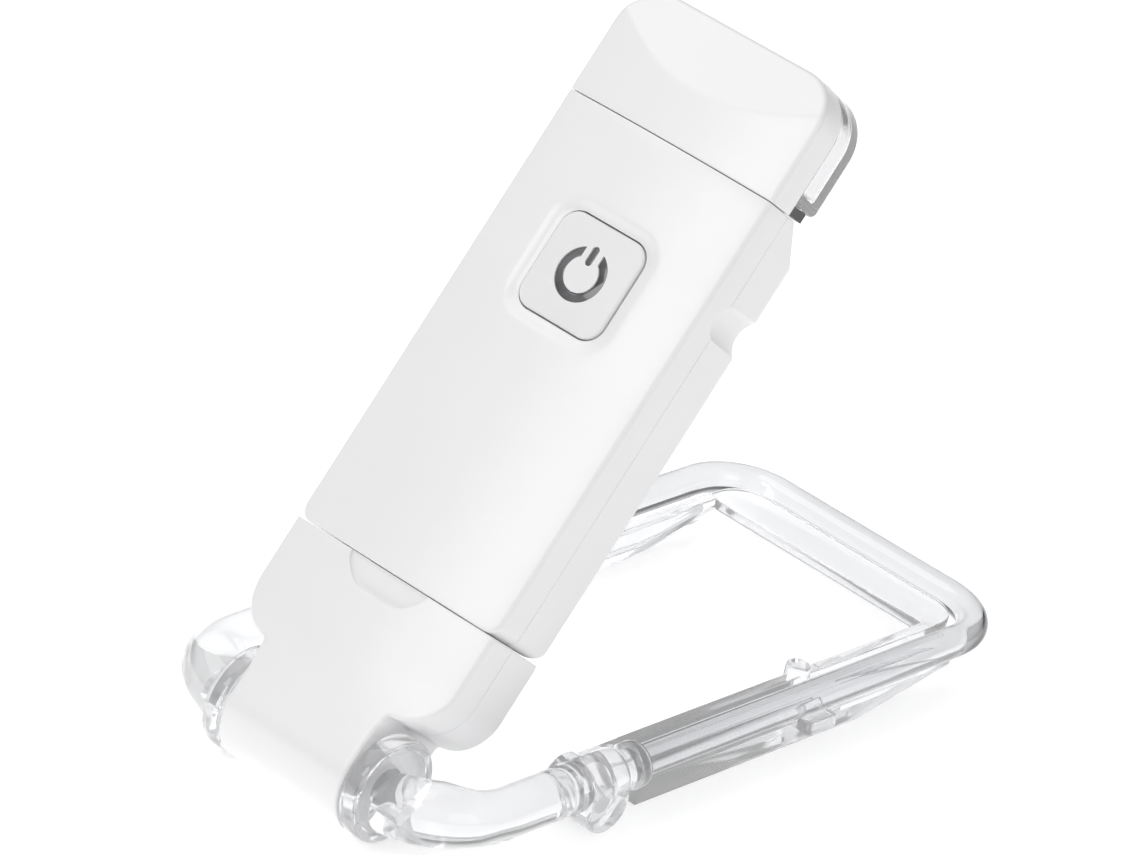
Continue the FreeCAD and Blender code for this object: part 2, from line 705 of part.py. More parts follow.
def jaw_frame():
    body = new_body("jaw_frame", "clip")
    bar = sketch_on(body, "XY_Plane", "jaw_top - 1.5")
    edge = "jaw_inner + jaw_wall"
    rectangle(bar, (f"-({edge})", edge), ("bar_start", "bar_end"))
    extrude(body, "Pad", bar, "1.5")
    dress(body, "Fillet", "4.5", lambda e: along(e, Z) and middle(e).y > dim("bar_end") - 1)
    for side in (1, -1):
        rail(body, side)
    for x in (("jaw_inner + jaw_wall"), ("-jaw_inner")):
        eye = sketch_on(body, "YZ_Plane", x)
        circle(eye, "pivot_y", "pivot_z", "3.4")
        extrude(body, "Pad", eye, "jaw_wall", reverse=True)
    for x in ("jaw_inner + 0.2", "-jaw_inner - 0.2"):
        lug = sketch_on(body, "XY_Plane", "-3")
        circle(lug, x, "scoop_at", "lug_radius")
        extrude(body, "Pad", lug, "lug_top + 3")
    for x in (("jaw_outer - 0.2", "jaw_outer + 2.2"), ("-jaw_outer - 2.2", "0.2 - jaw_outer")):
        ledge = sketch_on(body, "XY_Plane", "-4.4")
        rectangle(ledge, x, ("scoop_at - 4.2", "scoop_at + 0.8"))
        extrude(body, "Pad", ledge, "1.9")
    hole = sketch_on(body, "YZ_Plane", "bar_width")
    circle(hole, "pivot_y", "pivot_z", "pin_radius + 0.05")
    extrude(body, "Pocket", hole, "2 * bar_width")
    outer_taper = sketch_on(body, "YZ_Plane", "bar_width")
    polygon(outer_taper, [("taper_start", "-disc_radius"), ("rail_end + 1", "-3.2"),
                          ("rail_end + 1", "-disc_radius - 1"),
                          ("taper_start", "-disc_radius - 1")])
    extrude(body, "Pocket", outer_taper, "2 * bar_width")
    for x in (edge, "-jaw_inner"):
        inner_taper = sketch_on(body, "YZ_Plane", x)
        polygon(inner_taper, [("taper_start", "-4.45"), ("bar_start", "jaw_top - 1.5"),
                              ("rail_end + 6", "jaw_top - 1.5"), ("rail_end + 6", "-8"),
                              ("taper_start", "-8")])
        extrude(body, "Pocket", inner_taper, "jaw_wall")


def jaw_pivot():
    """The pins that the jaw turns on and the springs that hold it shut."""
    boss_start = "jaw_inner + jaw_wall + 0.5"
    at = ("pivot_y", "pivot_z")
    pins = [rod("pin_radius", "jaw_inner + 0.1", f"{boss_start} + 3.4", axis="x", at=at),
            rod("pin_radius", f"-({boss_start}) - 3.4", "-jaw_inner - 0.1", axis="x", at=at)]
    finish(group(pins), "jaw_pins", "clip")
    coils = []
    for side in ("", "-"):
        for turn in range(3):
            torus = doc.addObject("Part::Torus", "Coil")
            bind(torus, "Radius1", "spring_radius")
            bind(torus, "Radius2", "spring_wire")
            torus.Placement = Placement(Vector(), AXES["x"])
            offset = f"{boss_start} + 0.1 + spring_wire + {turn} * (2 * spring_wire + 0.02)"
            bind(torus, "Placement.Base.x", f"{side}({offset})")
            bind(torus, "Placement.Base.y", "pivot_y")
            bind(torus, "Placement.Base.z", "pivot_z")
            coils.append(torus)
    finish(group(coils), "jaw_springs", "clip")


# ---------------------------------------------------------------- build, check and write

body_front_shell()
body_back_shell()
head_cover()
head_lens()
lamp_light()
button()
leads()
electronics()
usb_plug()
cap()
hinge_pins()
friction_washers()
clip_arms()
clip_loop()
jaw_frame()
jaw_pivot()
doc.recompute()

for obj in doc.Objects:
    if "Invalid" in obj.State or "Error" in obj.State:
        raise RuntimeError(f"{obj.Label} ({obj.Name}) did not recompute: {obj.State}")
os.makedirs("parts", exist_ok=True)
for piece in pieces:
    shape = piece.Shape
    if shape.isNull() or not shape.isValid() or not shape.Solids:
        raise RuntimeError(f"{piece.Label} has no valid solid")
    shape.exportStep(f"parts/{piece.Label}.step")
    print(f"{piece.Label:20s} {len(shape.Solids):3d} solids {shape.Volume:10.1f} mm3")
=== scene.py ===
"""Clip-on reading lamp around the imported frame.

A white bar with its head, cap and button, on a clear sprung clip.
"""
import json
import math

import bmesh
import bpy
import numpy as np
from mathutils import Matrix, Vector


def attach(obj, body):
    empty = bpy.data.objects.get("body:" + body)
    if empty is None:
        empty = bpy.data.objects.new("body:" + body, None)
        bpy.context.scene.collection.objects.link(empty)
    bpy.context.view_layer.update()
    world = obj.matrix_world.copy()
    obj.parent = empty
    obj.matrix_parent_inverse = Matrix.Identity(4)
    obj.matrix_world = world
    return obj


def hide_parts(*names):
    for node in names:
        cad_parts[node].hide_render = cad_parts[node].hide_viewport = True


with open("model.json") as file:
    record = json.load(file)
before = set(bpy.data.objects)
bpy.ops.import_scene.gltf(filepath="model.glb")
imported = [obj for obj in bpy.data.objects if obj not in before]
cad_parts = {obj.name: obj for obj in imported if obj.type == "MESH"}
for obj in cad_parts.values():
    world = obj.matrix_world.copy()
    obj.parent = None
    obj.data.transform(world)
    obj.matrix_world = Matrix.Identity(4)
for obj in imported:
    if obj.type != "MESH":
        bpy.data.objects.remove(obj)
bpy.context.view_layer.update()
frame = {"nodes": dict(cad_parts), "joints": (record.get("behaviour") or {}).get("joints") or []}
nodes = frame["nodes"]
joints = {joint["name"]: joint for joint in frame["joints"]}

# ---------------------------------------------------------------- frames
# Pieces are built in millimetres in one of two local frames, then placed in the row frame.
MM = 0.001
HINGE = Vector(joints["lamp_tilt"]["pos_m"])
ALONG = Vector(joints["cap_pull"]["axis"]).normalized()
OUT = Vector((1, 0, 0)).cross(ALONG)


def placement(x_axis, y_axis, z_axis):
    turn = Matrix((x_axis, y_axis, z_axis)).transposed().to_4x4()
    return Matrix.Translation(HINGE) @ turn @ Matrix.Scale(MM, 4)


LAMP = placement(Vector((1, 0, 0)), ALONG, OUT)
CLIP = placement(Vector((1, 0, 0)), Vector((0, 1, 0)), Vector((0, 0, 1)))

# Heights are above the tilt axis, and places along the bar are counted from it.
FRONT = 6.5                  # front of the bar, at its middle
BACK = 7.0                   # back of the bar, on the other side of the axis
PARTING = 0.4                # the plane where front and back shells meet
PART_GAP = 0.03              # what each shell keeps from that plane
SEAM_LOW = 21.0              # end of the cap
SEAM_HIGH = 79.7             # end of the bar's shells
SEAM_GAP = 0.1               # open line at each of the two seams
BAR_LOW = SEAM_LOW + SEAM_GAP
HEAD_LOW = SEAM_HIGH + SEAM_GAP
TIP = 95.1                   # end of the head
HALF = 16.0                  # half the bar's width
INNER = 14.6                 # half the width inside the shells
SAG = 1.5                    # how far the crowned front falls towards the sides
BUTTON_AT = 61.6
SCOOP_AT = 65.3              # middle of the side scoops, and of the jaw's lugs that drop into them

# ---------------------------------------------------------------- mesh helpers


def raw(name, verts, faces):
    """A mesh object in millimetres, not placed yet."""
    mesh = bpy.data.meshes.new(name)
    mesh.from_pydata([tuple(map(float, v)) for v in verts], [], faces)
    bm = bmesh.new()
    bm.from_mesh(mesh)
    bmesh.ops.remove_doubles(bm, verts=bm.verts, dist=1e-4)
    bmesh.ops.dissolve_degenerate(bm, dist=1e-5, edges=bm.edges)
    bmesh.ops.recalc_face_normals(bm, faces=bm.faces)
    bm.to_mesh(mesh)
    bm.free()
    obj = bpy.data.objects.new(name, mesh)
    bpy.context.scene.collection.objects.link(obj)
    return obj


def combine(obj, tool, operation="DIFFERENCE"):
    """Cut or join two closed meshes for good."""
    mod = obj.modifiers.new("combine", "BOOLEAN")
    mod.object = tool
    mod.operation = operation
    mod.solver = "EXACT"
    depsgraph = bpy.context.evaluated_depsgraph_get()
    mesh = bpy.data.meshes.new_from_object(obj.evaluated_get(depsgraph))
    obj.modifiers.clear()
    obj.data = mesh
    bpy.data.objects.remove(tool)
    return obj


def finish_piece(obj, place, body, look, node, angle=32):
    """Place a piece, smooth it, hang it on its body, and hide the frame node it stands in for."""
    bm = bmesh.new()
    bm.from_mesh(obj.data)
    bmesh.ops.remove_doubles(bm, verts=bm.verts, dist=2e-4)
    bmesh.ops.dissolve_degenerate(bm, dist=1e-4, edges=bm.edges)
    bm.to_mesh(obj.data)
    bm.free()
    obj.data.transform(place)
    obj.data.shade_smooth()
    obj.data.set_sharp_from_angle(angle=math.radians(angle))
    obj.data.materials.clear()
    obj.data.materials.append(look)
    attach(obj, body)
    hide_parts(node)
    return obj


def end_faces(count, total):
    """The faces that close a stack of rings with count points each, total points in all."""
    return [tuple(range(count)), tuple(reversed(range(total - count, total)))]


def loft(name, rings):
    """A closed mesh through rings that all have the same number of points."""
    count = len(rings[0])
    verts = [p for ring in rings for p in ring]
    faces = []
    for i in range(len(rings) - 1):
        a, b = i * count, (i + 1) * count
        faces += [(a + j, a + (j + 1) % count, b + (j + 1) % count, b + j) for j in range(count)]
    faces += end_faces(count, len(verts))
    return raw(name, verts, faces)


def rounded(corners, steps=6):
    """A closed outline in two dimensions from (x, y, radius) corners."""
    out = []
    count = len(corners)
    for i, (x, y, radius) in enumerate(corners):
        p = np.array((x, y), float)
        if radius <= 0:
            out.append(p)
            continue
        to_last = np.array(corners[i - 1][:2], float) - p
        to_next = np.array(corners[(i + 1) % count][:2], float) - p
        a, b = to_last / np.linalg.norm(to_last), to_next / np.linalg.norm(to_next)
        half = math.acos(max(-1, min(1, float(a @ b)))) / 2
        reach = radius / math.tan(half)
        centre = p + (a + b) / np.linalg.norm(a + b) * (radius / math.sin(half))
        first, last = p + a * reach - centre, p + b * reach - centre
        start = math.atan2(first[1], first[0])
        sweep = math.atan2(last[1], last[0]) - start
        sweep = (sweep + math.pi) % (2 * math.pi) - math.pi
        for k in range(steps + 1):
            t = start + sweep * k / steps
            out.append(centre + radius * np.array((math.cos(t), math.sin(t))))
    return out


def mirrored(half):
    """The points of one side, then the same points on the other side in reverse order."""
    return half + [(-point[0], *point[1:]) for point in reversed(half)]


def shrunk(outline, distance):
    """The outline moved inward."""
    pts = np.array(outline)
    ahead, behind = np.roll(pts, -1, 0) - pts, pts - np.roll(pts, 1, 0)
    ahead /= np.maximum(np.linalg.norm(ahead, axis=1), 1e-9)[:, None]
    behind /= np.maximum(np.linalg.norm(behind, axis=1), 1e-9)[:, None]
    both = ahead + behind
    both /= np.linalg.norm(both, axis=1)[:, None]
    normal = np.stack((-both[:, 1], both[:, 0]), 1)
    area = np.sum(pts[:, 0] * np.roll(pts[:, 1], -1) - np.roll(pts[:, 0], -1) * pts[:, 1])
    grow = np.maximum(np.sum(both * ahead, 1), 0.35)[:, None]
    return pts + normal * (distance if area > 0 else -distance) / grow


def slab(name, outline, low, high, round_low=0.0, round_high=0.0, steps=5, axes="xyz"):
    """An outline carried from one height to another, with rounded rims.

    axes says which axes the outline's two directions and the height stand for.
    """
    levels = []
    for k in range(steps + 1 if round_low else 1):
        t = math.pi / 2 * k / steps
        levels.append((round_low * (1 - math.sin(t)), low + round_low * (1 - math.cos(t))))
    for k in range(steps + 1 if round_high else 1):
        t = math.pi / 2 * (1 - k / steps)
        levels.append((round_high * (1 - math.sin(t)), high - round_high * (1 - math.cos(t))))
    order = {"xyz": (0, 1, 2), "yzx": (2, 0, 1), "xzy": (0, 2, 1)}[axes]
    rings = []
    for inset, height in levels:
        ring = shrunk(outline, inset) if inset > 1e-6 else np.array(outline)
        points = np.column_stack((ring, np.full(len(ring), height)))
        rings.append(points[:, list(order)])
    return loft(name, rings)


def box(name, x, y, z):
    """A tool block."""
    outline = [(x[0], y[0]), (x[1], y[0]), (x[1], y[1]), (x[0], y[1])]
    return slab(name, outline, z[0], z[1])


def disc_outline(radius, steps=48, centre=(0.0, 0.0)):
    """A circle's points."""
    return [(centre[0] + radius * math.cos(2 * math.pi * i / steps),
             centre[1] + radius * math.sin(2 * math.pi * i / steps)) for i in range(steps)]


def sweep(name, path, radius, sides=28, dome=True):
    """A round bar along a path; radius is one number or one for each point.

    With dome, both ends are rounded off, a little beyond the ends of the path.
    """
    pts = [Vector(p) for p in path]
    last = len(pts) - 1
    radii = [radius] * len(pts) if isinstance(radius, (int, float)) else list(radius)
    tangents = [(pts[min(i + 1, last)] - pts[max(i - 1, 0)]).normalized() for i in range(len(pts))]
    side = tangents[0].orthogonal().normalized()
    frames = []
    for tangent in tangents:
        side = (side - tangent * side.dot(tangent)).normalized()
        frames.append((side, tangent.cross(side)))

    def dome_ring(i, t, direction):
        rise = math.sin(t * math.pi / 2)
        return i, direction * radii[i] * 0.5 * (1 - rise), radii[i] * (0.55 + 0.45 * rise)

    if dome:
        stations = [dome_ring(0, t, 1) for t in (0.12, 0.35, 0.65, 1.0)]
        stations += [(i, 0.0, radii[i]) for i in range(1, last)]
        stations += [dome_ring(last, t, -1) for t in (1.0, 0.65, 0.35, 0.12)]
    else:
        stations = [(i, 0.0, radii[i]) for i in range(len(pts))]
    rings = []
    for i, back, r in stations:
        centre = pts[i] - tangents[i] * back
        u, w = frames[i]
        rings.append([centre + (u * math.cos(a) + w * math.sin(a)) * r
                      for a in (2 * math.pi * k / sides for k in range(sides))])
    return loft(name, rings)


def revolve_x(name, profile, sides=64):
    """A closed disc turned round the X axis, from (x, radius) points."""
    rings = []
    for x, r in profile:
        rings.append([(x, r * math.cos(a), r * math.sin(a))
                      for a in (2 * math.pi * k / sides for k in range(sides))])
    return loft(name, rings)


def smooth(t):
    """Rises from 0 to 1 with a soft start and end."""
    t = np.clip(t, 0, 1)
    return t * t * (3 - 2 * t)


def drop(distance, radius):
    """How far a rounded edge falls away at a distance from its rim."""
    reach = np.clip(radius - distance, 0, radius)
    return radius - np.sqrt(np.maximum(radius * radius - reach * reach, 0))


CHAMFER = 0.07               # fine edge at the parting plane


def half_solid(name, rows, width, surface, floor, edge, inner_columns, side=1):
    """A half shell as a solid: a floor at the parting plane, upright sides and a curved top.

    rows are places along Y. width(y) is half the width. surface(x, y, gap) is the height, where
    gap is the distance in from the side. side is 1 above the parting plane and -1 below it.
    """
    near = [edge * (1 - math.cos(math.pi / 2 * k / 6)) for k in range(7)]
    verts = []
    for y in rows:
        w = width(y)
        span = w - near[-1]
        inner = [span * c for c in inner_columns]
        xs = [w - d for d in near] + inner[::-1]
        half = [(w - CHAMFER, floor), (w, floor + CHAMFER)]
        half += [(x, max(floor + CHAMFER, float(surface(x, y, w - x)))) for x in xs]
        line = mirrored(half)
        verts += [(x, y, side * z) for x, z in line]
    count = len(line)
    faces = []
    for i in range(len(rows) - 1):
        a, b = i * count, (i + 1) * count
        faces += [(a + j, a + j + 1, b + j + 1, b + j) for j in range(count - 1)]
        faces.append((a + count - 1, a, b, b + count - 1))
    faces += end_faces(count, len(verts))
    return raw(name, verts, faces)


# ---------------------------------------------------------------- materials


def material(name, color, rough, second=None, spots=90.0, grain=4000.0, bump=0.05, depth=0.00002,
             rough_range=0.06, stretch=None, **settings):
    """A surface whose colour and gloss vary a little, with a fine relief.

    spots and grain are the scales of the colour's and the relief's noise, stretch pulls the noise
    along an axis, and settings are further inputs of the shader, with _ for a space.
    """
    mat = bpy.data.materials.new(name)
    mat.use_nodes = True
    tree = mat.node_tree
    shader = tree.nodes["Principled BSDF"]
    source = tree.nodes.new("ShaderNodeTexCoord").outputs["Object"]
    if stretch:
        mapping = tree.nodes.new("ShaderNodeMapping")
        mapping.inputs["Scale"].default_value = stretch
        tree.links.new(source, mapping.inputs["Vector"])
        source = mapping.outputs["Vector"]

    def noise(scale, detail):
        node = tree.nodes.new("ShaderNodeTexNoise")
        node.inputs["Scale"].default_value = scale
        node.inputs["Detail"].default_value = detail
        tree.links.new(source, node.inputs["Vector"])
        return node.outputs["Fac"]

    ramp = tree.nodes.new("ShaderNodeValToRGB")
    second = second or tuple(c * 0.975 for c in color)
    dark, light = ramp.color_ramp.elements
    dark.position, light.position = 0.35, 0.65
    dark.color, light.color = (*second, 1), (*color, 1)
    tree.links.new(noise(spots, 3), ramp.inputs["Fac"])
    tree.links.new(ramp.outputs["Color"], shader.inputs["Base Color"])
    spread = tree.nodes.new("ShaderNodeMapRange")
    spread.inputs["To Min"].default_value = max(0.0, rough - rough_range / 2)
    spread.inputs["To Max"].default_value = rough + rough_range / 2
    tree.links.new(noise(grain / 8, 4), spread.inputs["Value"])
    tree.links.new(spread.outputs["Result"], shader.inputs["Roughness"])
    relief = tree.nodes.new("ShaderNodeBump")
    relief.inputs["Strength"].default_value = bump
    relief.inputs["Distance"].default_value = depth
    tree.links.new(noise(grain, 2), relief.inputs["Height"])
    tree.links.new(relief.outputs["Normal"], shader.inputs["Normal"])
    for key, value in settings.items():
        shader.inputs[key.replace("_", " ")].default_value = value
    return mat


WHITE = material("white_abs", (0.845, 0.845, 0.85), 0.31, (0.83, 0.83, 0.835), spots=70,
                 Specular_IOR_Level=0.8)
KEY_WHITE = material("white_key", (0.80, 0.80, 0.805), 0.42, (0.79, 0.79, 0.795), spots=110)
POLISHED = dict(grain=200, bump=0.004, depth=0.00001)


def floor_and_painted_glow(strength):
    """A trace of white emission: painted light that brightens the clear parts, and an even brightness
    for the floor.
    """
    return dict(Emission_Color=(1, 1, 1, 1), Emission_Strength=strength)


CLEAR = material("clear_clip_plastic", (0.80, 0.806, 0.82), 0.012, (0.79, 0.796, 0.81), spots=60,
                 rough_range=0.02, Transmission_Weight=0.95, IOR=1.56, **POLISHED)
# the arm, jaw and lens plastics carry painted light: a trace of white emission that brightens them
CLEAR_ARM = material("clear_arm_plastic", (0.87, 0.873, 0.882), 0.02, (0.86, 0.863, 0.872), spots=60,
                     rough_range=0.03, Transmission_Weight=0.88, IOR=1.46, **POLISHED, **floor_and_painted_glow(0.055))
CLEAR_JAW = material("clear_jaw_plastic", (0.93, 0.934, 0.942), 0.05, (0.915, 0.92, 0.93), spots=60,
                     rough_range=0.03, Transmission_Weight=0.93, IOR=1.54, **POLISHED, **floor_and_painted_glow(0.04))
CLEAR_LENS = material("clear_lens_plastic", (0.87, 0.87, 0.875), 0.03, (0.86, 0.86, 0.867), spots=80,
                      grain=300, bump=0.01, depth=0.00001, rough_range=0.04,
                      Transmission_Weight=0.93, IOR=1.5, **floor_and_painted_glow(0.025))
SMOKE = material("smoked_light_pipe", (0.14, 0.14, 0.145), 0.14, (0.05, 0.05, 0.053), spots=260,
                 grain=3000, bump=0.03, rough_range=0.1, Coat_Weight=0.5)
STEEL = dict(Metallic=1.0)
SPRING = material("spring_wire", (0.62, 0.62, 0.63), 0.28, (0.5, 0.5, 0.51), stretch=(4, 1, 1),
                  bump=0.08, **STEEL)

# ---------------------------------------------------------------- white bar

# Places across the half width, as parts of it. The front's are closer together round the button.
COLUMNS = [0.0, 0.05] + [i / 22 for i in range(2, 22)]
DENSE_SPAN = 13.9
DENSE = sorted({round(i * 0.55 / DENSE_SPAN, 4) for i in range(17)}
               | {round((9.4 + i * 0.9) / DENSE_SPAN, 4) for i in range(5)})
EDGE = 0.5                   # round between the front and the sides
BACK_EDGE = 1.6              # round between the back and the sides
LOW_ROUND = 1.8              # round at the end of the bar next to the cap
RIM = 0.2                    # small round at the seams
WELL_HALF = 6.6              # half the button's opening
DISH_DEPTH = 0.6
DISH_REACH = 1.7             # how far the dish runs out from the opening
HEEL_AT = 75.0               # where the back starts to slope up to the head


def crown(x):
    """How far the front falls at a distance from the middle."""
    return SAG * (x / HALF) ** 2


def button_square(half, radius, steps):
    """The outline of a rounded square round the button."""
    return rounded([(s * half, BUTTON_AT + t * half, radius)
                    for s, t in ((1, 1), (-1, 1), (-1, -1), (1, -1))], steps)


def square_distance(x, y, half, radius):
    """Distance outside a rounded square round the button."""
    qx, qy = abs(x) - (half - radius), abs(y - BUTTON_AT) - (half - radius)
    return math.hypot(max(qx, 0), max(qy, 0)) + min(max(qx, qy), 0) - radius


def dish(x, y):
    """The shallow dish that the button sits in."""
    outside = square_distance(x, y, WELL_HALF, 2.5)
    return DISH_DEPTH * float(1 - smooth(outside / DISH_REACH))


def end_rows(low, high, rim, steps=4):
    """Rows that follow a small round at either end."""
    first = [low + rim * (1 - math.cos(math.pi / 2 * k / steps)) for k in range(steps + 1)]
    last = [high - (y - low) for y in reversed(first)]
    return first, last


def bar_width_at(y):
    """Half the bar's width: rounds at the corners next to the cap and a fine rim at the head seam."""
    w = HALF
    gap = y - BAR_LOW
    if gap < LOW_ROUND:
        w -= LOW_ROUND - math.sqrt(max(LOW_ROUND ** 2 - (LOW_ROUND - gap) ** 2, 0))
    gap = SEAM_HIGH - y
    if gap < RIM:
        w -= float(drop(gap, RIM))
    return w


def front_height(x, y, gap):
    ends = min(y - BAR_LOW, SEAM_HIGH - y)
    return FRONT - crown(x) - dish(x, y) - float(drop(gap, EDGE)) - float(drop(ends, RIM))


def back_depth(x, y, gap):
    heel = max(0.0, y - HEEL_AT)
    low_end = float(drop(y - BAR_LOW, LOW_ROUND))
    return BACK - heel - float(drop(gap, BACK_EDGE)) - low_end


def hollow_plan(low, high):
    """The inside of a half shell, narrower where the scoops come in from the sides."""
    narrow = 13.2
    return mirrored([(INNER, low), (INNER, SCOOP_AT - 4.5), (narrow, SCOOP_AT - 3.5),
                     (narrow, SCOOP_AT + 3.5), (INNER, SCOOP_AT + 4.5), (INNER, high)])


def scoop_tool(side):
    """A rounded post that cuts a scoop up the bar's side and fades out above the parting line."""
    stack = ((-9, 3.3), (-6.4, 2.9), (-5.2, 2.62), (-1.5, 2.6), (0.2, 2.45), (1.2, 2.1),
             (1.9, 1.45), (2.2, 0.6))
    centre = (side * 17.1, SCOOP_AT)
    return loft("tool", [[(x, y, z) for x, y in disc_outline(r, 40, centre)] for z, r in stack])


first, last = end_rows(BAR_LOW, SEAM_HIGH, RIM)
corner_rows = [BAR_LOW + d for d in (0.35, 0.6, 0.95, 1.35, 1.8)]
plain_rows = list(np.arange(24.5, 51.5, 1.5))
dish_rows = list(np.arange(52, 71.5, 0.36))
upper_rows = list(np.arange(73, 79, 1.2))
bar_rows = first + corner_rows + plain_rows + dish_rows + upper_rows + last
bar_front = half_solid("bar_front", bar_rows, bar_width_at, front_height, PARTING + PART_GAP, EDGE,
                       DENSE)
combine(bar_front, slab("tool", hollow_plan(SEAM_LOW + 1.5, SEAM_HIGH - 1.4), -1.0, 3.6))
combine(bar_front, slab("tool", button_square(WELL_HALF, 2.6, 10), 3.5, 9.0))
PLUG_SLOT = ((-6.05, 6.05), (SEAM_LOW - 1, SEAM_LOW + 2.6), (-2.55, 2.05))
combine(bar_front, box("tool", *PLUG_SLOT))

bottom_rows = [BAR_LOW + LOW_ROUND * (1 - math.cos(math.pi / 2 * k / 7)) for k in range(8)]
heel_rows = [HEEL_AT + d for d in (-0.4, -0.15, 0, 0.15, 0.4)] + list(np.arange(76, 79.5, 0.7))
back_rows = bottom_rows + list(np.arange(24, 74, 1.0)) + heel_rows + last
bar_back = half_solid("bar_back", back_rows, bar_width_at, back_depth, -PARTING + PART_GAP, BACK_EDGE,
                      COLUMNS, side=-1)
combine(bar_back, slab("tool", hollow_plan(SEAM_LOW + 2.0, SEAM_HIGH - 6.1), -5.6, 1.5))
shallow = mirrored([(13.6, -1.0), (13.6, 1.5)])
combine(bar_back, slab("tool", shallow, SEAM_HIGH - 7.0, SEAM_HIGH - 1.4, axes="xzy"))
combine(bar_back, box("tool", *PLUG_SLOT))
for side in (1, -1):
    combine(bar_back, scoop_tool(side))
    combine(bar_front, scoop_tool(side))
finish_piece(bar_front, LAMP, "lamp", WHITE, "body_front_shell")
finish_piece(bar_back, LAMP, "lamp", WHITE, "body_back_shell")

# ---------------------------------------------------------------- head

HEAD_EDGE = 0.45
TIP_ROUND = 6.0              # corners of the tip, seen from the front
FACET_FROM = 86.5            # where the flat facet would leave the front's middle
FACET_SLOPE = 0.29


def head_width_at(y):
    w, gap = HALF, TIP - y
    if gap < TIP_ROUND:
        w -= TIP_ROUND - math.sqrt(max(TIP_ROUND ** 2 - (TIP_ROUND - gap) ** 2, 0))
    low = y - HEAD_LOW
    return w - float(drop(low, RIM)) if low < RIM else w


def head_height(x, y, gap):
    """The crowned front with the flat facet that slopes down to the tip."""
    cx = max(abs(x) - (HALF - TIP_ROUND), 0)
    cy = max(y - (TIP - TIP_ROUND), 0)
    rim = TIP_ROUND - math.hypot(cx, cy) if cx and cy else min(HALF - abs(x), TIP - y)
    top = FRONT - crown(x)
    facet = FRONT - FACET_SLOPE * (y - FACET_FROM)
    soft = 0.04
    level = min(top, facet)
    if abs(top - facet) < soft:
        level -= (soft - abs(top - facet)) ** 2 / (4 * soft)
    return level - float(drop(max(rim, 0), HEAD_EDGE)) - float(drop(y - SEAM_HIGH - SEAM_GAP, RIM))


tip_rows = [TIP - TIP_ROUND * (1 - math.cos(math.pi / 2 * k / 24)) for k in range(24, -1, -1)]
fine_tip = [TIP - HEAD_EDGE * (1 - math.cos(math.pi / 2 * k / 6)) for k in range(6, 0, -1)]
head_first, _ = end_rows(HEAD_LOW, TIP, RIM)
head_rows = sorted(set(head_first) | set(np.arange(80.6, 89, 0.4)) | set(tip_rows) | set(fine_tip))
head_columns = [i / 34 for i in range(34)]
head = half_solid("light_head", head_rows, head_width_at, head_height, PARTING + PART_GAP, HEAD_EDGE,
                  head_columns)
room = rounded(mirrored([(INNER, 81.3, 0.5), (INNER, 93.7, 4.6)]))
combine(head, slab("tool", room, -1.0, 2.4))
finish_piece(head, LAMP, "lamp", WHITE, "head_cover", angle=26)

lens_plan = rounded(mirrored([(15.9, 81.2, 0.8), (15.9, 95.0, 6.0)]), 14)
lens = slab("clear_head_lens", lens_plan, -5.3, PARTING - 0.02, round_low=1.2, round_high=0.15,
            steps=7)
lens_inside = rounded(mirrored([(14.5, 82.6, 0.5), (14.5, 93.6, 4.6)]), 14)
combine(lens, slab("tool", lens_inside, -3.9, 1.5, round_low=0.6, steps=5))
finish_piece(lens, LAMP, "lamp", CLEAR_LENS, "head_lens")

# ---------------------------------------------------------------- button

KEY_TOP = 6.12
RING_OUTER = 3.38
RING_INNER = 2.3
RING_GAP = 1.35              # half the gap at the top of the ring
STROKE_HALF = 0.46
STROKE_LOW, STROKE_HIGH = 1.25, 3.65
STROKE_ROUND = 0.98          # round ends of the stroke, as a part of its half width


def power_outlines(grow):
    """The ring with its gap, and the stroke, of a power symbol, grown a little."""
    outer, inner, gap = RING_OUTER + grow, RING_INNER - grow, RING_GAP - grow
    a0, a1 = math.asin(gap / outer), math.asin(gap / inner)
    ring = [(outer * math.sin(a), outer * math.cos(a))
            for a in np.linspace(a0, 2 * math.pi - a0, 60)]
    ring += [(inner * math.sin(a), inner * math.cos(a))
             for a in np.linspace(2 * math.pi - a1, a1, 50)]
    h = STROKE_HALF + grow
    stroke = rounded(mirrored([(h, STROKE_LOW - grow, h * STROKE_ROUND),
                               (h, STROKE_HIGH + grow, h * STROKE_ROUND)]), 8)
    return [[(x, y + BUTTON_AT) for x, y in line] for line in (ring, stroke)]


key = slab("button_key", button_square(6.4, 2.4, 10), 4.3, KEY_TOP, round_high=0.3, steps=5)
combine(key, slab("tool", button_square(7.1, 2.6, 6), 3.65, 4.35), "UNION")
combine(key, slab("tool", disc_outline(1.5, 32, (0, BUTTON_AT)), 3.36, 3.8), "UNION")
for line in power_outlines(0.05):
    combine(key, slab("tool", line, KEY_TOP - 0.45, KEY_TOP + 1))
finish_piece(key, LAMP, "button", KEY_WHITE, "power_button")
ring, stroke = [slab("power_symbol", line, KEY_TOP - 0.44, KEY_TOP - 0.2, round_high=0.09, steps=3)
                for line in power_outlines(0.0)]
combine(ring, stroke, "UNION")
finish_piece(ring, LAMP, "button", SMOKE, "button_symbol")

# ---------------------------------------------------------------- cap

BARREL = 6.5                 # radius of the hinge barrel at the back
BARREL_EDGE = 0.45           # round at the ends of the barrel
CAP_ROUND = 6.0              # corners beside the barrel, seen from the front
# The outline of the right half, from the seam round the corner and the neck to the barrel's end.
cap_plan = [(HALF, 40.0)]
cap_plan += [(HALF - CAP_ROUND + CAP_ROUND * math.cos(a), 13.2 - CAP_ROUND * math.sin(a))
             for a in np.linspace(0, math.radians(86), 40)]
cap_plan += [(10.0 - 0.1 * t, 7.1 - 1.3 * t ** 1.6) for t in np.linspace(0.35, 1, 8)]
cap_plan += [(9.7, 5.0), (9.6, 3.5), (9.6, -8)]
cap_line = np.array(cap_plan)


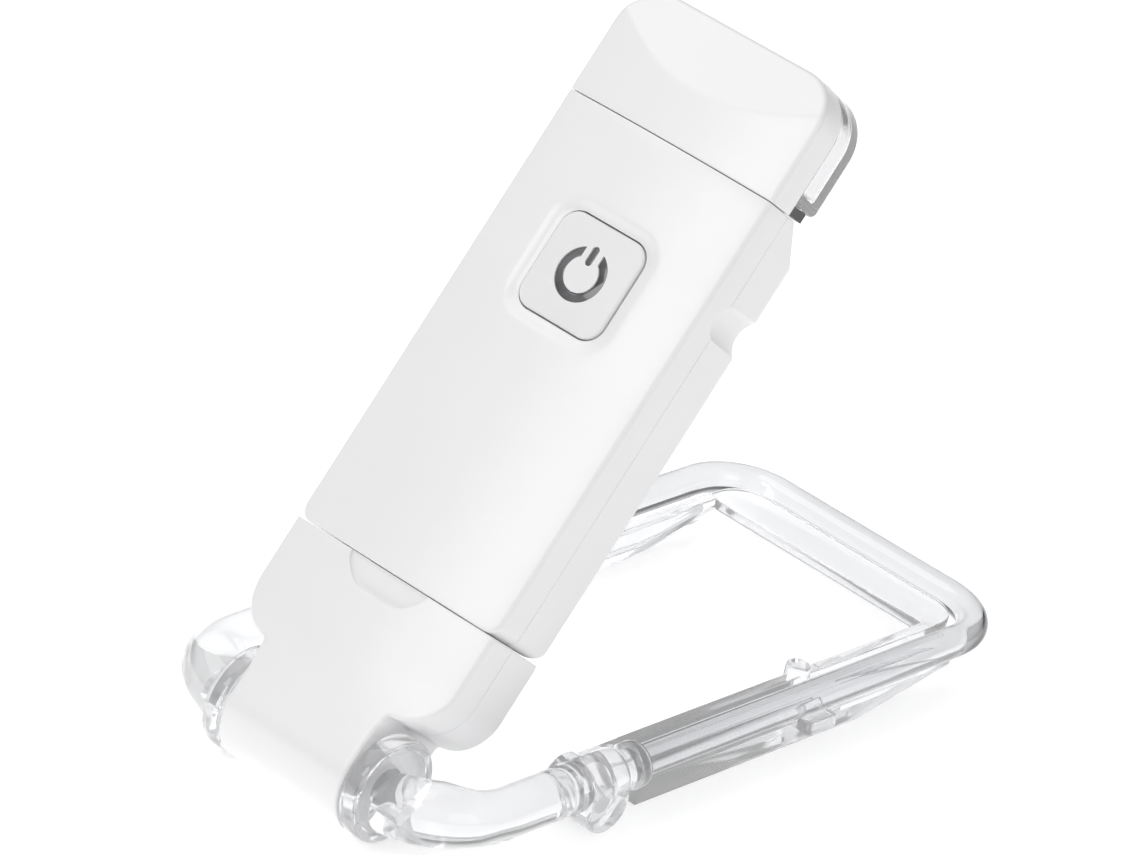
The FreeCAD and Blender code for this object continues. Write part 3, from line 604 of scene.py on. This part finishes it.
def cap_width_at(y):
    ys, xs = cap_line[::-1, 1], cap_line[::-1, 0]
    w = float(np.interp(y, ys, xs))
    gap = SEAM_LOW - y
    return w - float(drop(gap, RIM)) if gap < RIM else w


def cap_rim(x, y):
    """Distance from the cap's outline seen from the front."""
    p = np.array((abs(x), y))
    a, b = cap_line[:-1], cap_line[1:]
    run = b - a
    t = np.clip(np.sum((p - a) * run, 1) / np.sum(run * run, 1), 0, 1)
    return float(np.min(np.linalg.norm(a + run * t[:, None] - p, axis=1)))


def cap_front_height(x, y, gap):
    """The barrel's round as far as its axis, then the front, which takes up the bar's crown."""
    base = FRONT if y >= 0 else math.sqrt(max(FRONT ** 2 - y * y, 0))
    radius = BARREL_EDGE + (EDGE - BARREL_EDGE) * float(smooth((y - 5.0) / 9.0))
    radius = min(radius, max(base - PARTING - 0.2, 0.02))
    bulge = crown(x) * float(smooth((y - 1.0) / 12.0))
    seam = float(drop(SEAM_LOW - y, RIM))
    return base - bulge - float(drop(cap_rim(x, y), radius)) - seam


def cap_back_depth(x, y, gap):
    """The barrel's round as far as its axis, then the back, which deepens to the bar's."""
    if y >= 0:
        base = BARREL + (BACK - BARREL) * float(smooth((y - 2.0) / 6.0))
    else:
        base = math.sqrt(max(BARREL ** 2 - y * y, 0))
    radius = min(BARREL_EDGE + 1.15 * float(smooth((y - 5.0) / 6.0)), max(base - 0.2, 0.02))
    return base - float(drop(cap_rim(x, y), radius)) - float(drop(SEAM_LOW - y, 0.5))


barrel_rows = [-6.47, -6.44, -6.38, -6.28, -6.1, -5.85, -5.5, -5.1, -4.6, -4.0, -3.3, -2.5, -1.7,
               -0.8, 0, 1.0, 2.0, 3.0]
shoulder_rows = list(np.arange(4.2, 7.0, 0.35)) + list(np.arange(7.05, 8.6, 0.12))
shoulder_rows += list(np.arange(8.7, 13.4, 0.33))
_, cap_last = end_rows(SEAM_LOW - 3, SEAM_LOW, RIM)
cap_rows = barrel_rows + shoulder_rows + list(np.arange(13.8, 20.5, 0.6)) + cap_last
cap_front = half_solid("cap_front", cap_rows, cap_width_at, cap_front_height, PARTING + PART_GAP,
                       EDGE, COLUMNS)
cap_back = half_solid("cap_back", cap_rows, cap_width_at, cap_back_depth, -PARTING + PART_GAP,
                      BACK_EDGE, COLUMNS, side=-1)
for half in (cap_front, cap_back):
    # the room for the plug's sleeve, and the bore of the hinge
    combine(half, box("tool", (-7.02, 7.02), (7.58, SEAM_LOW + 1), (-3.57, 3.07)))
    combine(half, slab("tool", disc_outline(2.56, 48), -12, 12, axes="yzx"))
thumb = rounded([(6.3, 24.0, 0), (6.35, 20.2, 3.2), (3.6, 17.85, 3.0), (-3.4, 17.85, 3.0),
                 (-6.35, 20.2, 3.2), (-6.3, 24.0, 0)], 10)
thumb_rings = []
for inset, height in ((-0.25, 7.5), (-0.2, 6.62), (-0.05, 6.45), (0.03, 6.3), (0.06, 6.0), (0.2, 5.86)):
    thumb_rings.append([(x, y, height) for x, y in shrunk(thumb, inset)])
combine(cap_front, loft("tool", thumb_rings))
finish_piece(cap_front, LAMP, "cap", WHITE, "cap_front_shell")
finish_piece(cap_back, LAMP, "cap", WHITE, "cap_back_shell")

# ---------------------------------------------------------------- clear clip

TUBE_X = 22.2                # the rails of the loop, to either side
TUBE_FAR = 97.6              # the cross tube, from the hinge
TUBE_RADIUS = 1.985
BEND = 8.0                   # bend radius of the loop's corners
PIVOT_Y, PIVOT_Z = 24.0, -2.5   # the jaw's axis


def corner_points(centre, start, end, steps=16):
    return [(centre[0] + BEND * math.cos(a), centre[1] + BEND * math.sin(a), 0.0)
            for a in np.linspace(start, end, steps)]


right = corner_points((TUBE_X - BEND, TUBE_FAR - BEND), 0, math.pi / 2)
left = corner_points((BEND - TUBE_X, TUBE_FAR - BEND), math.pi / 2, math.pi)
path = [(TUBE_X, y, 0.0) for y in (31.05, 33, 45, 60, 75, 85)] + right
path += [(x, TUBE_FAR, 0.0) for x in (8, 0, -8)] + left
path += [(-TUBE_X, y, 0.0) for y in (85, 75, 60, 45, 33, 31.05)]
loop = sweep("loop_tube", path, TUBE_RADIUS, sides=32)
finish_piece(loop, CLIP, "clip", CLEAR, "clip_loop")

# (x, radius) of the hinge disc, from the side next to the bar
DISC = [(9.97, 5.9), (10.0, 6.25), (10.12, 6.45), (10.35, 6.55), (12.1, 6.55), (12.32, 6.48),
        (12.48, 6.3), (12.55, 6.0), (12.55, 5.55), (12.3, 5.25), (12.3, 4.6)]
# (degrees, radius) along the arm's bend, which starts thick at the disc
ARM_START = 12.2
ARM_BEND = ((0, 5.2), (8, 4.95), (16, 4.68), (24, 4.42), (32, 4.17), (40, 3.94), (48, 3.73),
            (56, 3.54), (64, 3.38), (72, 3.26), (80, 3.16), (90, 3.1))
# (place, radius) along the straight part, with its collars
ARM_STRAIGHT = [(10, 3.08), (12, 3.08), (14.5, 3.08), (16.6, 3.08), (17.2, 3.02), (17.5, 2.72),
                (18.0, 2.66), (18.4, 2.74), (18.7, 3.05), (19.6, 3.1), (20.1, 3.1), (20.4, 2.85),
                (20.8, 2.8), (21.2, 2.85), (21.6, 3.1), (26.6, 3.1), (27.0, 2.95), (27.5, 2.7),
                (28.6, 2.62), (29.0, 2.7), (29.4, 2.9), (30.5, 2.92), (30.9, 2.8), (31.0, 2.6)]
PIN_ANGLE = math.radians(21.0)   # the flat-sided end of the hinge pin stands at this angle


def pivot_disc(radius, low, high, points, **rims):
    """A disc on the jaw's axis, from one x to another."""
    outline = disc_outline(radius, points, (PIVOT_Y, PIVOT_Z))
    return slab("tool", outline, low, high, axes="yzx", **rims)


def arm(side):
    """Disc, bend, straight part with its collars, and the boss that holds the jaw's pivot."""
    path, radii = [], []
    for angle, radius in ARM_BEND:
        t = math.radians(angle)
        # the root of the bend is a little lower and thinner
        lower = 1.5 * max(0.0, 1 - angle / 42) ** 1.2
        path.append((ARM_START + (TUBE_X - ARM_START) * math.sin(t),
                     8.4 - 9.0 * math.cos(t) + 0.5 * lower, -lower))
        radii.append(radius - lower)
    for y, radius in ARM_STRAIGHT:
        path.append((TUBE_X, y, 0.0))
        radii.append(radius)
    piece = revolve_x("tool", DISC, 72)
    combine(piece, sweep("tool", path, radii, sides=36, dome=False), "UNION")
    combine(piece, pivot_disc(3.5, 19.22, 25.1, 44, round_low=0.2, round_high=0.5, steps=4), "UNION")
    combine(piece, pivot_disc(2.7, 18, 21.0, 36))
    combine(piece, pivot_disc(1.24, 18, 22.62, 28))
    c, s = math.cos(PIN_ANGLE), math.sin(PIN_ANGLE)
    key_line = rounded([(2.62, 1.02, 1.0), (-2.62, 1.02, 1.0), (-2.62, -1.02, 1.0),
                        (2.62, -1.02, 1.0)], 8)
    key_line = [(y * c - z * s, y * s + z * c) for y, z in key_line]
    combine(piece, slab("tool", key_line, 9, 16, axes="yzx"))
    if side < 0:
        piece.data.transform(Matrix.Scale(-1, 4, (1, 0, 0)))
        piece.data.flip_normals()
    piece.name = "arm_right" if side > 0 else "arm_left"
    node = "clip_arm_right" if side > 0 else "clip_arm_left"
    return finish_piece(piece, CLIP, "clip", CLEAR_ARM, node)


arm(1)
arm(-1)

# ---------------------------------------------------------------- clear jaw

RAIL_IN, RAIL_OUT = 17.1, 18.7   # the jaw's inner walls, to either side
BOSS_HIGH = 3.4
SPRING_X = 19.46                 # where each coil starts, beside the inner wall
COIL_RADIUS = 1.95
WIRE_RADIUS = 0.235


def rail_section(side):
    """The trough section of a rail, across the clip."""
    corners = [(RAIL_IN, 0.2, 0.18), (RAIL_OUT, 0.2, 0.18), (RAIL_OUT, -3.5, 0.3), (20.4, -4.5, 0.3),
               (20.4, -2.6, 0.3), (22.0, -2.6, 0.35), (22.0, -6.6, 0.3), (20.8, -6.6, 0.3),
               (RAIL_IN, -4.45, 0.35)]
    return [(side * x, z) for x, z in rounded(corners, 4)]


def jaw_side(side):
    """The pieces of one side: rail, wall, pivot boss, lug and ledge."""
    def across(a, b):
        return sorted((side * a, side * b))

    rail = slab("tool", rail_section(side), 33.0, 89.57, round_low=0.12, round_high=0.12, steps=3,
                axes="xzy")
    # the rail's underside rises towards the cross bar, and the inner wall's rises to meet it
    wedge = [(71.0, -6.79), (91.0, -3.06), (91.0, -8.0), (71.0, -8.0)]
    combine(rail, slab("tool", wedge, -30, 30, axes="yzx"))
    under = [(71.0, -4.69), (88.6, -1.3), (96, -1.3), (96, -8), (71.0, -8)]
    combine(rail, slab("tool", under, *across(16.5, 18.72), axes="yzx"))
    wall_plan = rounded([(side * 17.13, 0.17, 0.17), (side * 18.67, 0.17, 0.17),
                         (side * 18.67, -4.4, 0.28), (side * 17.13, -4.4, 0.28)], 4)
    wall = slab("tool", wall_plan, 24.0, 34.1, axes="xzy")
    low, high = across(RAIL_IN, RAIL_OUT)
    boss = pivot_disc(BOSS_HIGH, low - 0.04, high + 0.04, 44, round_low=0.25, round_high=0.25, steps=4)
    lug = slab("tool", disc_outline(1.55, 36, (side * 17.3, SCOOP_AT)), -3.0, 1.15, round_high=0.45,
               steps=4)
    ledge_plan = rounded([(side * 21.7, 61.1, 0.2), (side * 24.15, 61.1, 0.5),
                          (side * 24.15, 66.1, 0.5), (side * 21.7, 66.1, 0.2)], 5)
    ledge = slab("tool", ledge_plan, -4.4, -2.5, round_low=0.3, round_high=0.3, steps=4)
    return [rail, wall, boss, lug, ledge]


def jaw():
    """The cross bar, with both sides joined on and the pivots bored."""
    bar_plan = rounded(mirrored([(18.62, 88.53, 0.45), (18.62, 95.2, 4.5)]), 10)
    whole = slab("jaw_moulding", bar_plan, -1.24, 0.16, round_low=0.17, round_high=0.17, steps=3)
    for piece in jaw_side(1) + jaw_side(-1):
        combine(whole, piece, "UNION")
    for side in (1, -1):
        combine(whole, pivot_disc(1.26, *sorted((side * 16, side * 20)), 28))
    return finish_piece(whole, CLIP, "jaw", CLEAR_JAW, "jaw_frame")


def spring_coils():
    """Torsion springs: close coils round both pivots."""
    turns, pitch = 2.6, 0.52
    steps = int(turns * 30)
    coils = []
    for side in (1, -1):
        path = []
        for k in range(steps + 1):
            a = 2 * math.pi * turns * k / steps
            path.append((side * (SPRING_X + pitch * turns * k / steps),
                         PIVOT_Y + COIL_RADIUS * math.cos(a), PIVOT_Z + COIL_RADIUS * math.sin(a)))
        coils.append(sweep("jaw_spring_coils", path, WIRE_RADIUS, sides=10))
    both = combine(coils[0], coils[1], "UNION")
    return finish_piece(both, CLIP, "clip", SPRING, "jaw_springs")


jaw()
spring_coils()

# ---------------------------------------------------------------- frame nodes kept as they are

# painted light: the plate, board and chips behind the lens glow white, standing in for the light that
# reaches them through the lens
PAINTED_GLOW = dict(Emission_Color=(1.0, 0.98, 0.95, 1.0), Emission_Strength=0.2)
KEPT = {
    "reflector_plate": material("reflector_white", (0.9, 0.9, 0.9), 0.5, spots=200, **PAINTED_GLOW),
    "led_board": material("led_board_mask", (0.86, 0.86, 0.84), 0.4, (0.82, 0.82, 0.8), spots=300,
                          **PAINTED_GLOW),
    "led_chips": material("led_phosphor", (0.93, 0.90, 0.80), 0.35, (0.9, 0.84, 0.62), spots=420,
                          **PAINTED_GLOW),
    "battery_leads": material("red_wire", (0.5, 0.03, 0.025), 0.45, (0.42, 0.02, 0.02), spots=500),
    "led_leads": material("yellow_wire", (0.7, 0.5, 0.06), 0.45, (0.6, 0.42, 0.05), spots=500),
    "main_board": material("green_board", (0.02, 0.17, 0.06), 0.34, (0.015, 0.12, 0.045), spots=700,
                           grain=2500, bump=0.2),
    "board_screws": material("zinc_screw", (0.6, 0.6, 0.62), 0.3, stretch=(1, 6, 1), **STEEL),
    "battery_cell": material("pouch_foil", (0.62, 0.64, 0.67), 0.38, (0.55, 0.57, 0.6), spots=160,
                             grain=1600, bump=0.35, **STEEL),
    "tact_switch": material("switch_black", (0.03, 0.03, 0.032), 0.42, spots=300),
    "indicator_leds": material("indicator_glow", (0.85, 0.8, 0.5), 0.3, spots=500),
    "board_components": material("chip_epoxy", (0.035, 0.035, 0.038), 0.5, spots=500, bump=0.2),
    "usb_plug_shell": material("nickel_shell", (0.74, 0.74, 0.75), 0.24, (0.66, 0.66, 0.67),
                               stretch=(1, 1, 9), rough_range=0.16, **STEEL),
    "usb_tongue": material("tongue_nylon", (0.82, 0.82, 0.82), 0.5, spots=300),
    "usb_contacts": material("contact_gold", (0.86, 0.62, 0.24), 0.24, (0.8, 0.55, 0.2),
                             stretch=(9, 1, 1), **STEEL),
    "plug_sleeve": material("sleeve_nylon", (0.66, 0.66, 0.67), 0.55, spots=200, bump=0.12),
    "hinge_pins": material("dark_pin", (0.34, 0.34, 0.35), 0.4, (0.22, 0.22, 0.23), spots=500,
                           rough_range=0.2, bump=0.15, **STEEL),
    "friction_washers": material("washer_steel", (0.85, 0.85, 0.86), 0.32, stretch=(8, 1, 1), **STEEL),
    "jaw_pins": material("pin_steel", (0.5, 0.5, 0.51), 0.26, (0.42, 0.42, 0.43), spots=400,
                         stretch=(6, 1, 1), **STEEL),
    "lens_clips": material("black_catch", (0.02, 0.018, 0.018), 0.35, (0.06, 0.05, 0.05), spots=420),
}
for name, look in KEPT.items():
    nodes[name].data.materials.clear()
    nodes[name].data.materials.append(look)

# ---------------------------------------------------------------- floor, light and camera


def add(name, data):
    obj = bpy.data.objects.new(name, data)
    bpy.context.scene.collection.objects.link(obj)
    return obj


FLOOR_REACH = 3.0
FLOOR_DROP = 0.00005         # keeps the floor from lying in the same plane as the jaw's feet
floor_corners = [(x * FLOOR_REACH, y * FLOOR_REACH, 0) for x, y in ((-1, -1), (1, -1), (1, 1), (-1, 1))]
floor_mesh = bpy.data.meshes.new("floor")
floor_mesh.from_pydata(floor_corners, [], [(0, 1, 2, 3)])
floor = add("floor", floor_mesh)
floor.location.z = -FLOOR_DROP
paper = material("pale_paper", (0.92, 0.92, 0.925), 0.9, (0.91, 0.91, 0.915), spots=6, grain=900,
                 bump=0.02, Specular_IOR_Level=0.0, **floor_and_painted_glow(0.45))
floor_mesh.materials.append(paper)


AIM = Vector((0, 0, 0.04))   # about the middle of the lamp


def softbox(name, place, size, power):
    """A square area light that faces the lamp."""
    light = bpy.data.lights.new(name, "AREA")
    light.shape = "RECTANGLE"
    light.size = light.size_y = size
    light.energy = power
    obj = add(name, light)
    obj.location = place
    obj.rotation_euler = (AIM - Vector(place)).to_track_quat("-Z", "Y").to_euler()


softbox("key_softbox", (-0.24, -0.73, 0.60), 0.3, 1.1)
softbox("right_softbox", (0.70, -0.30, 0.37), 0.5, 0.8)
softbox("top_softbox", (-0.42, -0.2, 0.80), 0.6, 1.95)

world = bpy.data.worlds.new("studio")
bpy.context.scene.world = world
world.use_nodes = True
tree = world.node_tree
background = tree.nodes["Background"]
direction = tree.nodes.new("ShaderNodeTexCoord")
split = tree.nodes.new("ShaderNodeSeparateXYZ")
tree.links.new(direction.outputs["Generated"], split.inputs["Vector"])
sky = tree.nodes.new("ShaderNodeValToRGB")
# The band just above the horizon is dark, which draws the edges of the clear parts.
lowest, highest = sky.color_ramp.elements
lowest.position, lowest.color = 0.02, (0.55, 0.55, 0.56, 1)
highest.position, highest.color = 0.5, (0.86, 0.86, 0.86, 1)
for height, level in ((0.05, 0.10), (0.20, 0.04), (0.25, 0.42), (0.34, 0.68)):
    stop = sky.color_ramp.elements.new(height)
    stop.color = (level, level, level * 1.01, 1)
tree.links.new(split.outputs["Z"], sky.inputs["Fac"])
tree.links.new(sky.outputs["Color"], background.inputs["Color"])
background.inputs["Strength"].default_value = 0.76

CAMERA_AT = (0.493643, -0.652917, 0.450123)
CAMERA_RIGHT = (0.717706, 0.671391, 0.184752)
CAMERA_UP = (-0.434466, 0.224402, 0.872286)
CAMERA_BACK = (0.544186, -0.706313, 0.452751)
camera_data = bpy.data.cameras.new("camera")
camera_data.sensor_width = 36.0
camera_data.lens = 246.51
camera_data.clip_start, camera_data.clip_end = 0.05, 20.0
camera = add("camera", camera_data)
turn = Matrix((CAMERA_RIGHT, CAMERA_UP, CAMERA_BACK)).transposed().to_4x4()
camera.matrix_world = Matrix.Translation(CAMERA_AT) @ turn
bpy.context.scene.camera = camera
bpy.context.scene.view_settings.view_transform = "Standard"
